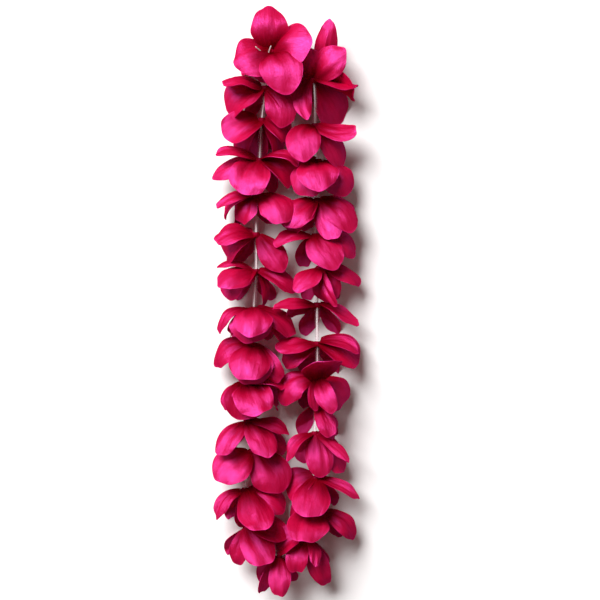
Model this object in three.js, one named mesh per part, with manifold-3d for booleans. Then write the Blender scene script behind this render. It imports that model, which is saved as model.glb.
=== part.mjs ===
// A flower lei laid flat as a long narrow loop: blooms of soft broad petals threaded on one closed
// thread, each held off the next by a clear spacer tube. Millimetres, +Z up, the loop's length along Y,
// the top of the loop at +Y, the surface it lies on at Z = 0.
import * as THREE from "three";
import { mergeVertices } from "three/addons/utils/BufferGeometryUtils.js";
import Module from "manifold-3d";

const wasm = await Module();
wasm.setup();

// Driving dimensions
const THREAD_HEIGHT = 24; // the thread's centre above the surface, carried by the petals under it
const THREAD_RADIUS = 0.6;
const THREAD_SIDES = 6;
const TUBE_RADIUS = 1.9;
const TUBE_BORE = 1.3;
const TUBE_SIDES = 6;
const TURN_PER_STEP = 0.35; // radians that one straight step of the thread and its tube may turn
const HUB_RADIUS = 3.4; // the pinched middle of a bloom, where its petals meet
const HUB_LENGTH = 5;
const HUB_HOLE = 1.3;
const HUB_SIDES = 6;
const GAP = 0.5; // between a tube's end and the hub that it butts against
const KNOT_RADIUS = 1.5;
const KNOT_PLACE = 5.5; // the knot's distance past the top bloom, along the thread
const KNOT_ENDS = [[-0.7, 0.5, 20], [0.1, -0.4, 14]]; // each end's lean across and up, and its length
const SAMPLES = 100; // between two places on the thread, for its length

const PETAL_LENGTH = 43;
const PETAL_WIDTH = 34;
const PETAL_NECK = 0.12; // width at the root, as a share of the widest
const NECK_CURVE = 0.95; // how slowly the petal widens past its neck
const SLACK = 0.03; // most of a petal's length that its arching takes up
const PETAL_WIDEST = 0.58; // where the petal is widest, as a share of its length
const PETAL_THICKNESS = 0.8;
const PETAL_ROOT = 2.2; // where a petal starts, out from the thread's centre
const LAYERS = [0.1, 1.7]; // where a bloom's two layers of petals start, up the strand from its middle
const PETAL_BOW = 0.05; // least rise of the arched midrib, as a share of the chord
const PETAL_CUP = 0.3; // radians that the petal turns down from its midrib to its edge
const PETAL_CURL = -0.1; // radians that its tip turns up
const CURL_FROM = 0.5; // where the tip starts to turn, as a share of the length
const ROUND_TIP = 0.5; // the power that gives a round tip; 1 is pointed
const MERGE = 0.1; // corners closer than this are made one where petals are joined
const STATIONS = [0.3, 0.6, 0.86]; // cross sections of a petal between its root and its tip
const STATIONS_BELOW = [0.4, 0.8]; // the same for the lower petals
const PLAINER_UNDER = 0.35; // the level that makes a petal a lower one

// Along the thread: each bloom's place and the tips of its petals, measured from there, or a BEND where
// the thread only turns.
// A petal is [across, down, level, shows, turn, wide]: across to the right and down towards the loop's
// bottom end in mm; level 1 has the tip at its full height over the thread and -1 under it; shows is
// how far the upper face leans to the viewer above, turn how far it leans to the right, and wide its
// width as a share of the usual. What one petal does of its own follows: by is how far its middle lies
// across and down from the straight way, belly is where it is widest, point how pointed its tip is,
// bow how far it arches, and cup, fold, curl and twist are in radians.
const BEND = "bend";
const STRING = [
  ["top", -12, 223, [
    [-3, -41, 0.4, 4, 0, 1, { bow: 0.13, curl: -0.4, belly: 0.42, point: 0.4, cup: 0.3 }],
    [34, -5, 1, 3.5, 0.1, 1.4, { belly: 0.46, cup: 0.2, curl: -0.2 }],
    [11, 37, 1.7, 6, 0, 1.15, { cup: 0.25, bow: 0.14, curl: -0.4, belly: 0.5 }],
    [-33, 9, 0.5, 2.5, -0.3, 1.25, { cup: 0.2, curl: -0.2, belly: 0.48 }],
    [-13, 25, 0.3, 2, 0.8, 0.9, { cup: 0.2 }], [-4, -32, -1, 5, 0, 0.9], [-30, 8, -1, 3, 0, 0.9]]],
  [BEND, -20, 209],
  ["left_01", -18, 191, [
    [-38, -5, 0.6, 0.55, 0, 0.9, { twist: 0.4, curl: -0.2, point: 0.42 }],
    [-35, 20, -0.02, 1.2, 0, 1.05, { cup: -0.3 }],
    [17, 35, 0.7, 1.3, 0, 0.88, { cup: 0.35, curl: -0.3, point: 0.42 }], [30, 16, -0.1, 1.5, 0, 1]]],
  ["left_02", -21, 162, [
    [-31, 19, 0.4, 1.2, 0, 1.1, { cup: -0.6, curl: 0.2 }], [22, 18, 0, 0.8, 0, 0.85, { cup: -0.6 }],
    [-21, 33, -0.68, 0.9, 0, 0.65, { by: [-2, 0] }], [18, 31, -0.75, 0.8, 0, 0.8],
    [-9, 34, -1, 1, 0, 0.8]]],
  ["left_03", -23, 126, [
    [-40, -5, 0.5, 0.7, 0, 0.55, { point: 0.7 }],
    [-42, 16, 0.2, 0.9, 0, 0.75, { cup: 0.4, point: 0.65 }],
    [-15, 29, 1, 1.5, 0, 1.1, { fold: -0.25, cup: 0.35, curl: -0.3 }], [36, 3, 0.5, 0.35, 0, 0.7],
    [29, 22, -0.04, 0.9, 0, 1, { cup: -0.9 }]]],
  ["left_04", -26, 95, [
    [-36, 11, 0.36, 0.7, 0, 0.5, { point: 0.7 }], [-30, 20, -0.26, 0.5, 0, 0.8, { cup: -0.4 }],
    [26, 24, 1.1, 1, 0, 1, { by: [3, -5], cup: 0.6 }], [29, 27, -0.4, 0.5, 0, 0.8],
    [-16, 24, -0.05, 0.6, 0, 0.9]]],
  ["left_05", -26, 59, [
    [-37, 5, 0.5, 0.75, 0, 0.85, { fold: -0.2, point: 0.4 }],
    [-29, 21, -0.4, 0.9, 0, 1, { cup: -0.3 }], [25, 32, 0.6, 0.8, -0.5, 0.75, { cup: 0.6 }]]],
  ["left_06", -26, 26, [
    [-33, 11, 0.96, 0.9, 0, 0.9, { cup: 0.5 }], [-26, 24, 0.14, 0.7, 0, 0.95, { cup: -0.3 }],
    [-36, -7, -0.3, 0.4, 0, 0.45], [35, 18, -0.1, 0.8, 0, 0.7, { cup: 0.2 }],
    [9, 31, -0.44, 0.5, 0, 0.4]]],
  ["left_07", -28, -8, [
    [-33, 19, 0.5, 0.3, 0, 0.6, { by: [-2, -3], point: 0.65 }],
    [0, 22, 0.92, 1.2, 0, 1.05, { cup: 0.5, curl: -0.3 }],
    [36, 23, 0.32, 0.7, 0, 0.8, { by: [0, -2], cup: 0.4 }], [-4, 29, 0.6, 1.1, 0, 1.15],
    [-23, 23, 0.2, 0.4, 0, 0.35, { point: 0.8 }], [29, 28, -0.48, 0.8, 0, 0.75]]],
  ["left_08", -28, -40, [
    [-36, 18, 0.05, 0.8, 0, 0.85, { by: [-2, -3], curl: -0.4, point: 0.6 }],
    [-7, 28, 1, 1.5, 0, 1.15, { cup: 0.5, curl: -0.4, bow: 0.09 }],
    [24, 32, 0.5, 0.5, -0.8, 0.6, { cup: 0.5 }], [-2, 35, 0.6, 1.3, 0, 1.1]]],
  ["left_09", -36, -75, [
    [-20, 20, 0.58, 0.3, 0, 0.35, { by: [-2, 0], curl: -0.5, point: 0.8 }],
    [14, 24, 1, 1.1, 0, 1.1, { fold: -0.3, cup: 0.5 }], [35, 2, 0.1, 0.5, 0, 0.8, { cup: -0.4 }],
    [1, 31, 0.6, 1.1, 0, 1.15], [31, 19, -0.5, 0.7, 0, 0.9]]],
  ["left_10", -34, -109, [
    [-24, 29, 0.8, 1, -0.3, 0.7, { cup: 0.4 }], [18, 30, 1, 1, 0.3, 0.85, { cup: 0.5, by: [2, -1] }],
    [38, 9, 0.3, 0.5, 0, 0.6, { twist: 0.4, point: 0.7 }], [36, 27, -0.6, 0.8, 0, 0.8]]],
  ["left_11", -30, -136, [
    [-31, 24, 0.8, 1.6, -0.3, 1.15, { cup: 0.25, curl: -0.15 }],
    [21, 37, 0.8, 1.6, 0.2, 1.15, { cup: 0.25, curl: -0.25, by: [4, 0] }]]],
  ["left_12", -36, -171, [
    [-25, 24, 0.4, 0.6, 0, 0.5, { by: [-2, -2], point: 0.65 }],
    [17, 31, 1.5, 1, 0, 0.95, { fold: 0.3, cup: 0.3 }], [38, 14, -0.3, 1, 0, 1.05],
    [4, 34, -0.78, 0.8, 0, 0.9]]],
  ["left_13", -34, -205, [
    [-9, 33, 0, 0.5, 0, 0.5], [18, 30, 0.8, 1, 0, 0.95, { cup: 0.4 }], [27, 18, -0.92, 0.8, 0, 0.8],
    [36, 6, 0.2, 0.8, 0, 0.9]]],
  ["bottom", -5, -229, [
    [1, 35, 0.6, 1, 0, 0.62, { cup: 0.4 }],
    [-15, 36, -0.3, 0.4, 0.6, 0.5, { by: [-6, 0], point: 0.8 }], [16, -20, 0.2, 0.8, 0, 0.8]]],
  ["right_14", 19, -215, [
    [19, 41, 0.3, 0.7, -0.5, 0.6, { fold: 0.4 }], [9, 20, 0.7, 0.5, 0.6, 0.4],
    [-8, 27, 0.46, 0.8, 0, 0.6, { by: [-3, 0] }]]],
  ["right_13", 32, -190, [
    [-13, 23, 1, 1.2, 0, 1.15, { cup: 0.4, by: [-4, -2], belly: 0.52 }],
    [32, 24, 0, 0.7, 0, 0.72, { cup: 0.4, point: 0.6 }], [-29, 8, -0.4, 1]]],
  ["right_12", 28, -160, [
    [-7, 31, 1.08, 1.2, 0, 1.05, { cup: 0.4 }], [-25, 16, -0.2, 1, 0, 1.05, { cup: -0.4 }],
    [39, 18, 0.2, 0.6, 0, 0.5, { cup: -0.3, by: [0, 3], point: 0.75 }]]],
  ["right_11", 27, -120, [
    [-27, 22, 0.5, 0.5, 0, 0.42, { fold: -0.4, point: 0.75 }],
    [6, 38, 0.5, 1.2, 0, 0.78, { cup: 0.5 }], [32, 21, 1.3, 0.5, 0, 0.38, { point: 0.8 }],
    [26, 34, -0.4, 0.9, 0, 0.7]]],
  ["right_10", 28, -96, [
    [15, 26, 0.5, 0.7, 0, 0.65], [20, 32, -0.3, 0.6, 0, 0.7]]],
  ["right_09", 29, -72, [
    [24, 22, -0.04, 1, 0, 1.2], [-33, 20, 0.2, 0.7, 0.3, 0.9, { by: [-2, -5], cup: 0.5 }],
    [0, 26, 0.45, 0.5, 0.9, 0.5, { by: [-5, 1], point: 0.6 }],
    [14, 27, 0.8, 0.5, -0.6, 0.55, { point: 0.6 }], [6, -21, 1, 0.5, 0, 1.1]]],
  ["right_08", 29, -39, [
    [-38, 10, 0.5, 0.5, 0, 0.9, { curl: 0.7, point: 0.65 }],
    [37, 9, 0.4, 0.45, 0, 0.65, { point: 0.65 }], [-32, 18, -0.2, 0.8, 0, 0.95],
    [38, 17, -0.3, 0.9, 0, 1.1]]],
  ["right_07", 29, -4, [
    [-40, -1, 0.5, 0.6, 0, 0.6, { cup: 0.2, point: 0.5 }],
    [36, 21, 0.5, 0.35, 0, 0.65, { curl: 0.3, point: 0.7 }], [-28, 9, -0.2, -0.2, 0, 0.9]]],
  ["right_06", 31, 29, [
    [-22, 22, 0.8, 0.5, 0, 0.85, { by: [2, 0], point: 0.65 }], [37, 14, -0.1, 0.6, 0, 0.8],
    [16, 34, 0.78, 0.3, -1.2, 0.42, { point: 0.7 }], [8, 30, 0.1, 0.7, 0, 0.8]]],
  ["right_05", 27, 58, [
    [-38, 6, 0.5, 0.5, 0, 0.7, { point: 0.6 }],
    [20, 28, 0.82, 1.2, 0, 0.95, { cup: 0.4, by: [-4, 0] }],
    [39, 15, -0.1, 1, 0, 0.9, { point: 0.6 }]]],
  ["right_04", 29, 90, [
    [-31, 21, 0.8, 1.1, 0, 1, { cup: 0.6 }], [31, 27, 1.25, 1.1, 0, 0.85, { cup: 0.5, by: [2, -4] }],
    [-25, 28, 0.24, 0.9, 0, 0.9, { cup: -0.3 }], [17, 34, 0.86, 0.7, -0.5, 0.75, { cup: 0.5 }],
    [34, 5, -0.48, 0.5, 0, 0.5]]],
  ["right_03", 30, 125, [
    [5, 25, 0.92, 1.2, 0, 1.15, { cup: 0.4, by: [-3, 0] }], [-14, 31, 0.6, 1.2, 0, 1.05, { cup: 0.5 }],
    [26, 30, 0.32, 0.9, 0, 1, { cup: 0.3 }], [-30, 16, -0.7, 1, 0, 0.9]]],
  ["right_02", 27, 157, [
    [-6, 32, 0.9, 1.3, -0.2, 1, { cup: 0.5, by: [-6, -4] }],
    [37, 5, 0.6, 0.5, 0, 0.75, { by: [0, 9], curl: 0.3, point: 0.42 }], [25, 36, 0.15, 0.7, 0, 0.8]]],
  ["right_01", 25, 198, [
    [15, -55, 0.8, 3, 0, 0.6, { by: [2, 0], fold: 0.8, belly: 0.58, point: 0.85 }],
    [40, 9, 0.7, 0.3, 0, 0.8, { curl: 0.3 }], [27, -25, 0.88, 2, 0.3, 0.95, { cup: 0.6 }],
    [24, 37, -2.2, 1, -0.4, 1.1], [38, 16, 0.55, -0.5, 0, 1],
    [-3, 36, 0.9, 1, 0.1, 0.5, { by: [-7, 0], point: 0.65, cup: 0.3 }], [-18, 23, -0.88, 1.5, 0, 0.9],
    [-7, -27, 0.4, 1.5, 0, 0.75]]],
  [BEND, 14, 219],
];
const BLOOMS = STRING.filter(([name]) => name !== BEND);
const PETALS = 3;
const LEVEL = 2;
const BARE_AFTER = ["top", "bottom"]; // the thread runs on to the next bloom without a tube
// Two petals under every strand bloom carry the lei; across is outwards from the loop here.
const FEET = [[17, 25, -1.05, 0.3, 0, 0.6], [-12, 25, -1.05, 0.3, 0, 0.6]];

for (const [name, x, , own] of BLOOMS) {
  if (name !== "top") {
    own.push(...FEET.map(([out, ...rest]) => [out * Math.sign(x), ...rest]));
  }
}

const UP = new THREE.Vector3(0, 0, 1);
const path = new THREE.CatmullRomCurve3(
  STRING.map(([, x, y]) => new THREE.Vector3(x, y, THREAD_HEIGHT)), true, "centripetal");

// A closed geometry as a solid that can be joined and cut.
function solidOf(geometry) {
  const bare = geometry.clone();
  bare.deleteAttribute("normal");
  bare.deleteAttribute("uv");
  const merged = mergeVertices(bare, 1e-4);
  return new wasm.Manifold(new wasm.Mesh({
    numProp: 3,
    vertProperties: merged.attributes.position.array,
    triVerts: new Uint32Array(merged.index.array),
  }));
}

function geometryOf(solid) {
  const { numProp, vertProperties, triVerts } = solid.getMesh();
  const position = new Float32Array((vertProperties.length / numProp) * 3);
  for (let i = 0; i * numProp < vertProperties.length; i++) {
    position.set(vertProperties.subarray(i * numProp, i * numProp + 3), i * 3);
  }
  return new THREE.BufferGeometry()
    .setAttribute("position", new THREE.BufferAttribute(position, 3))
    .setIndex(new THREE.BufferAttribute(new Uint32Array(triVerts), 1));
}

// Half the petal's width at share u of its length: a narrow neck, a broad middle and a round end.
function halfWidth(u, belly, point) {
  const wide = PETAL_WIDTH / 2;
  if (u < belly) {
    return wide * (PETAL_NECK + (1 - PETAL_NECK) * Math.sin((Math.PI / 2) * (u / belly)) ** NECK_CURVE);
  }
  const past = (u - belly) / (1 - belly);
  return wide * Math.max(0, 1 - past * past) ** point;
}

// An arc of that length that turns by angle: how far it goes on, and how far it leaves its start's line.
function bent(length, angle) {
  if (Math.abs(angle) < 1e-4) {
    return [length, 0];
  }
  return [(length * Math.sin(angle)) / angle, (length * (1 - Math.cos(angle))) / angle];
}

// The petal's middle surface: a function of u from root to tip and v from one edge to the other.
function petalSurface(heart, axis, layer, [across, down, level, shows, turn = 0, wide = 1, own = {}]) {
  const {
    by = [0, 0], belly = PETAL_WIDEST, point: tipPower = ROUND_TIP, bow: arch = PETAL_BOW,
    cup = PETAL_CUP, fold = 0, curl = PETAL_CURL, twist = 0 } = own;
  const reach = Math.hypot(across, down);
  const length = Math.max(PETAL_LENGTH, reach * 1.03);
  const rise = level * Math.sqrt(length * length - reach * reach);
  const tip = new THREE.Vector3(heart.x + across, heart.y - down, heart.z + rise);
  const outward = tip.clone().sub(heart);
  outward.addScaledVector(axis, -outward.dot(axis)).normalize();
  const root = heart.clone()
    .addScaledVector(axis, LAYERS[layer])
    .addScaledVector(outward, PETAL_ROOT);
  const along = tip.clone().sub(root);
  const span = along.length();
  along.normalize();
  const face = new THREE.Vector3(turn, 1, shows);
  face.addScaledVector(along, -face.dot(along)).normalize();
  const slack = Math.min(SLACK, Math.max(0, (length - PETAL_ROOT) / span - 1));
  const bow = span * (arch + Math.sqrt(0.375 * slack));
  const aside = new THREE.Vector3(by[0], -by[1], 0);
  const crown = root.clone().lerp(tip, 0.5).addScaledVector(face, 2 * bow).addScaledVector(aside, 2);
  const rib = new THREE.QuadraticBezierCurve3(root, crown, tip);
  return (u, v) => {
    const half = wide * halfWidth(u, belly, tipPower);
    const run = rib.getTangent(u);
    const side = run.clone().cross(face).normalize();
    const lift = side.clone().cross(run);
    const past = Math.max(0, (u - CURL_FROM) / (1 - CURL_FROM));
    const bare = span * (1 - CURL_FROM) * past;
    const [on, off] = bent(bare, curl * past);
    const point = rib.getPoint(u).addScaledVector(along, on - bare).addScaledVector(face, off);
    const tilt = new THREE.Quaternion().setFromAxisAngle(side, curl * past)
      .multiply(new THREE.Quaternion().setFromAxisAngle(run, twist * (u - 0.35)));
    side.applyQuaternion(tilt);
    lift.applyQuaternion(tilt);
    const [out, fall] = bent(half, cup);
    const drop = v * v * (fall + fold * half * Math.sqrt(Math.sin(Math.PI * Math.min(1, u * 1.2))));
    point.addScaledVector(side, out * v).addScaledVector(lift, -drop);
    const normal = lift.clone().addScaledVector(side, half > 0 ? (v * drop) / half : 0).normalize();
    // What would reach below the surface that the lei lies on is pressed flat along it.
    if (point.z < PETAL_THICKNESS / 2) {
      point.z = PETAL_THICKNESS / 2;
      normal.set(0, 0, Math.sign(normal.z) || 1);
    }
    return { point, normal };
  };
}

// A petal as a closed thin blade, split into triangles alike on both faces.
function petalSolid(heart, axis, layer, petal) {
  const surface = petalSurface(heart, axis, layer, petal);
  const stations = petal[LEVEL] < PLAINER_UNDER ? STATIONS_BELOW : STATIONS;
  const left = [0, ...stations].map((u) => surface(u, -1));
  const right = [0, ...stations].map((u) => surface(u, 1));
  const middle = stations.map((u) => surface(u, 0));
  const end = surface(1, 0);
  const ring = [...left, end, ...right.reverse()];
  const spots = [...ring, ...middle];
  const last = stations.length;
  const L = (i) => i;
  const R = (i) => ring.length - 1 - i;
  const M = (i) => ring.length + i - 1;
  const E = last + 1;
  const faces = [[L(0), R(0), M(1)], [L(0), M(1), L(1)], [R(0), R(1), M(1)]];
  for (let i = 1; i < last; i++) {
    faces.push([L(i), M(i), M(i + 1)], [L(i), M(i + 1), L(i + 1)]);
    faces.push([M(i), R(i), M(i + 1)], [R(i), R(i + 1), M(i + 1)]);
  }
  faces.push([L(last), M(last), E], [M(last), R(last), E]);
  const position = [];
  for (const lift of [0.5, -0.5]) {
    for (const { point, normal } of spots) {
      position.push(...point.clone().addScaledVector(normal, lift * PETAL_THICKNESS));
    }
  }
  const under = spots.length;
  const index = [];
  for (const [a, b, c] of faces) {
    index.push(a, b, c, a + under, c + under, b + under);
  }
  ring.forEach((_, i) => {
    const j = (i + 1) % ring.length;
    index.push(i, j, j + under, i, j + under, i + under);
  });
  const geometry = new THREE.BufferGeometry()
    .setAttribute("position", new THREE.BufferAttribute(new Float32Array(position), 3))
    .setIndex(index);
  return outwardSolid(geometry);
}

function flipped(geometry) {
  const turned = geometry.clone();
  const index = turned.index.array;
  for (let i = 0; i < index.length; i += 3) {
    [index[i], index[i + 1]] = [index[i + 1], index[i]];
  }
  return turned;
}

// A round bar along the thread at a place on it.
function bar(radius, length, sides, at, along) {
  const geometry = new THREE.CylinderGeometry(radius, radius, length, sides);
  geometry.applyQuaternion(new THREE.Quaternion().setFromUnitVectors(new THREE.Vector3(0, 1, 0), along));
  geometry.translate(at.x, at.y, at.z);
  return solidOf(geometry);
}

const petalMaterial = new THREE.MeshStandardMaterial({ color: 0xe0106e, roughness: 0.6, metalness: 0 });
const tubeMaterial = new THREE.MeshStandardMaterial({
  color: 0xf2eef0, roughness: 0.15, metalness: 0, transparent: true, opacity: 0.4 });
const threadMaterial = new THREE.MeshStandardMaterial({ color: 0xf4f0ee, roughness: 0.7, metalness: 0 });

const lei = new THREE.Group();

function add(name, geometry, material) {
  const mesh = new THREE.Mesh(geometry, material);
  mesh.name = name;
  lei.add(mesh);
}

path.arcLengthDivisions = SAMPLES * STRING.length;
const lengths = path.getLengths();
const total = lengths[lengths.length - 1];
const hearts = BLOOMS.map((row) => lengths[STRING.indexOf(row) * SAMPLES]);

// The thread's centre and direction at a distance along it.
function placeAt(distance) {
  const share = (((distance / total) % 1) + 1) % 1;
  return { at: path.getPointAt(share), along: path.getTangentAt(share) };
}

// The distances between two blooms at which the thread and its tube turn.
function turnsBetween(index) {
  const from = hearts[index] + HUB_LENGTH / 2 + GAP;
  const to = (index + 1 < hearts.length ? hearts[index + 1] : total) - HUB_LENGTH / 2 - GAP;
  const turned = placeAt(from).along.angleTo(placeAt(to).along);
  const steps = Math.max(1, Math.ceil(turned / TURN_PER_STEP));
  return Array.from({ length: steps + 1 }, (_, k) => from + ((to - from) * k) / steps);
}

function ringAt(distance, radius, sides) {
  const { at, along } = placeAt(distance);
  const outward = along.clone().cross(UP).normalize();
  return Array.from({ length: sides }, (_, j) => {
    const angle = (2 * Math.PI * (j + 0.5)) / sides;
    return at.clone()
      .addScaledVector(outward, radius * Math.cos(angle))
      .addScaledVector(UP, radius * Math.sin(angle));
  });
}

// A closed skin through rings of points, the last ring joined to the first.
function skinOf(rings) {
  const sides = rings[0].length;
  const index = [];
  rings.forEach((_, i) => {
    const here = i * sides;
    const next = ((i + 1) % rings.length) * sides;
    for (let j = 0; j < sides; j++) {
      const k = (j + 1) % sides;
      index.push(here + j, here + k, next + k, here + j, next + k, next + j);
    }
  });
  return new THREE.BufferGeometry().setFromPoints(rings.flat()).setIndex(index);
}

function outwardSolid(geometry) {
  const solid = solidOf(geometry);
  return solid.volume() < 0 ? solidOf(flipped(geometry)) : solid;
}

function tube(index) {
  const turns = turnsBetween(index);
  const outer = turns.map((distance) => ringAt(distance, TUBE_RADIUS, TUBE_SIDES));
  const inner = turns.reverse().map((distance) => ringAt(distance, TUBE_BORE, TUBE_SIDES));
  return geometryOf(outwardSolid(skinOf([...outer, ...inner])));
}

function bloom(index) {
  const own = BLOOMS[index][PETALS];
  const { at, along } = placeAt(hearts[index]);
  const upStrand = along.clone().multiplyScalar(along.y < 0 ? -1 : 1);
  let solid = bar(HUB_RADIUS, HUB_LENGTH, HUB_SIDES, at, along);
  own.forEach((petal, i) => {
    solid = solid.add(petalSolid(at, upStrand, i % 2, petal));
  });
  solid = solid.subtract(bar(HUB_HOLE, HUB_LENGTH * 4, HUB_SIDES, at, along));
  if (index === 0) {
    for (const end of knotEnds(HUB_HOLE)) {
      solid = solid.subtract(end);
    }
  }
  return geometryOf(solid.simplify(MERGE));
}

// The thread is one loop, tied beside the top bloom in a knot whose two ends come up through it.
const knot = placeAt(KNOT_PLACE).at;

function knotEnds(radius) {
  return KNOT_ENDS.map(([x, y, length]) => {
    const way = new THREE.Vector3(x, y, 1).normalize();
    return bar(radius, length, THREAD_SIDES, knot.clone().addScaledVector(way, length / 2), way);
  });
}

function thread() {
  const turns = hearts.flatMap((heart, i) => [heart, ...turnsBetween(i)]);
  const loop = skinOf(turns.map((distance) => ringAt(distance, THREAD_RADIUS, THREAD_SIDES)));
  const bead = new THREE.IcosahedronGeometry(KNOT_RADIUS, 0).translate(knot.x, knot.y, knot.z);
  const solid = outwardSolid(loop).add(solidOf(bead));
  return geometryOf(knotEnds(THREAD_RADIUS).reduce((tied, end) => tied.add(end), solid));
}

BLOOMS.forEach(([name], i) => {
  add("bloom_" + name, bloom(i), petalMaterial);
  if (!BARE_AFTER.includes(name)) {
    add("spacer_after_" + name, tube(i), tubeMaterial);
  }
});
add("thread", thread(), threadMaterial);

export default lei;
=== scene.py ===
import math
import random

import bpy
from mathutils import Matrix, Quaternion, Vector, noise


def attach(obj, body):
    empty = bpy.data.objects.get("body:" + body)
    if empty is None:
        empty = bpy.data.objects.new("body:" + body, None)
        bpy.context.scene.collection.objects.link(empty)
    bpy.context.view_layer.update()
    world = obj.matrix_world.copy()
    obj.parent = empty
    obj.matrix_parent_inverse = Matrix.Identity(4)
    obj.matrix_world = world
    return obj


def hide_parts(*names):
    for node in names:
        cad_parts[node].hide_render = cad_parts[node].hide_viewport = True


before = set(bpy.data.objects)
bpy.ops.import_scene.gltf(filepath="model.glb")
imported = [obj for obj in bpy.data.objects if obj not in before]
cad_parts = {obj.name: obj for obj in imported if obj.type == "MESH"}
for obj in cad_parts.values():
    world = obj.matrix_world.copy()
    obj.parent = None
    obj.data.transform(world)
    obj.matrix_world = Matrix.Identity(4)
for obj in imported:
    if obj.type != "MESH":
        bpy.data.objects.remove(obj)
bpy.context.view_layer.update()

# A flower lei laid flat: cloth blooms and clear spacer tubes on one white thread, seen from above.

MM = 0.001
UP = Vector((0, 0, 1))

# The thread
THREAD_HEIGHT = 24 * MM
THREAD_RADIUS = 0.6 * MM
THREAD_PITCH = 6 * MM  # length of one full turn of its two plies
THREAD_STEP = 1 * MM
THREAD_SIDES = 10
PLY_WAIST, PLY_SWELL = 0.72, 0.28  # the plies' outline: its narrowest radius, and how much it swells
SAMPLES = 100  # points on the thread's path from each bloom to the next

# Its knot and two cut ends, beside the top bloom
KNOT_RADIUS = 1.5 * MM
KNOT_PLACE = 5.5 * MM  # along the thread from the top bloom
KNOT_REACH = 2.4  # what the tie's line is divided by to bring it to the knot's radius
KNOT_CORD = 0.9  # the tied thread's radius as a share of the loose thread's
KNOT_LOOK = 0.01  # radians to look ahead and back for the tie's direction
KNOT_STEPS = 60
KNOT_SIDES = 8
KNOT_ENDS = [((-0.7, 0.5), 20 * MM), ((0.26, 0.58), 17 * MM)]  # lean across and up, and length
END_STEPS = 20
END_TAPER = 12  # a cut end narrows over a twelfth of its length

# The tubes between the blooms
TUBE_RADIUS = 1.9 * MM
TUBE_WALL = 0.45 * MM
TUBE_STEP = 2 * MM
TUBE_LEAST_STEPS = 4
TUBE_SIDES = 20
TUBE_GAP = 0.5 * MM  # from a tube's end to the bloom's collar

# The collar: the gathered cloth round the thread in the middle of a bloom
COLLAR_RADIUS = 3.4 * MM
COLLAR_LENGTH = 5 * MM
COLLAR_HOLE = 1.3 * MM
COLLAR_PLEATS = 9
PLEAT_STEPS = 4
PLEAT_DEPTH = 0.08  # as a share of the collar's radius
COLLAR_SIDES = 10
COLLAR_SHARE = 0.15  # the collar has the colour that the petals have over this share of their length: the root's deeper crimson, in part painted shade

# The cut of a petal
PETAL_LENGTH = 43 * MM
PETAL_WIDTH = 34 * MM
PETAL_THICKNESS = 0.45 * MM
PETAL_NECK = 0.3  # width of the root as a share of the widest
NECK_CURVE = 0.85  # how straight the sides open from the root
PETAL_WIDEST = 0.58  # where it is widest, as a share of the length
PETAL_CORNER = 0.82  # where the long edges end and the rounded tip starts, as a share of the length
GRID_ACROSS = 20
GRID_ALONG = 24

# How a petal lies
PETAL_ROOT = 2.2 * MM  # from the thread's centre to where a petal starts
LAYERS = [0.1 * MM, 1.7 * MM]  # where petals start along the thread, turn by turn
LENGTH_OVER_REACH = 1.03  # the least length, where the tip is further off than the usual petal is long
SLACK = 0.03  # the most that a petal is longer than the way to its tip, as a share
ARC_RISE = 0.375  # an arc's rise is its chord times the root of this times its slack
PETAL_BOW = 0.05  # how far the middle stands out, as a share of the way to the tip
PETAL_CUP = 0.32  # radians that a petal turns from its midrib to its edge
CURL_FROM = 0.5  # where a petal's tip starts to curl
TWIST_FROM = 0.35  # where a twisted petal lies as if it weren't
FOLD_END = 1.2  # a fold along the midrib has run out at the length divided by this
RUFFLE = 1.2 * MM  # height of the waves on the edges
EDGE_WAVES = 1.3
TIP_RUFFLE = 0.6  # the tip's waves as a share of the edges'
TIP_WAVES = 1.6
CRUMPLE = 1.2 * MM  # height of the broad unevenness
CRUMPLE_SCALE = (1.3, 2.2)  # how fine it is, across and along
CREASE = 0.5 * MM  # height of the small unevenness
CREASE_SCALE = (4, 3.5)
CREASE_APART = 7  # keeps the creases' pattern apart from the crumple's
GATHER = 0.8 * MM  # depth of the folds that fan out of the gathered root
GATHER_END = 1.4
GATHER_FOLDS = 2
PINCH = 1.8 * MM  # depth of the one crease that runs up a petal
PINCH_WIDTH = 0.22
UNEVEN = 0.08  # how far an edge wanders, as a share of the half width
UNEVEN_SCALE = 2.5
EDGES_APART = 9  # keeps the wandering of the two edges apart
END_UNEVEN = 0.015  # how far the rounded end wanders, as a share of the length
END_WAVES = 5

# How petals differ where the table says nothing: the least and the most
POINTS = (0.4, 0.5)
CUPS = (0.6, 1.4)  # as a share of the usual cup
CUPPED_BACK = 0.25  # the share of the petals that are cupped the other way
FOLDS = (-0.1, 0.12)
CURLS = (-0.45, 0.0)
TWISTS = (-0.15, 0.15)
SWEEPS = (-0.04, 0.04)  # how far the tip swings aside, as a share of the way to it
PINCH_PLACES = (-0.6, 0.6)
PATTERN_SPREAD = 50

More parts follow.
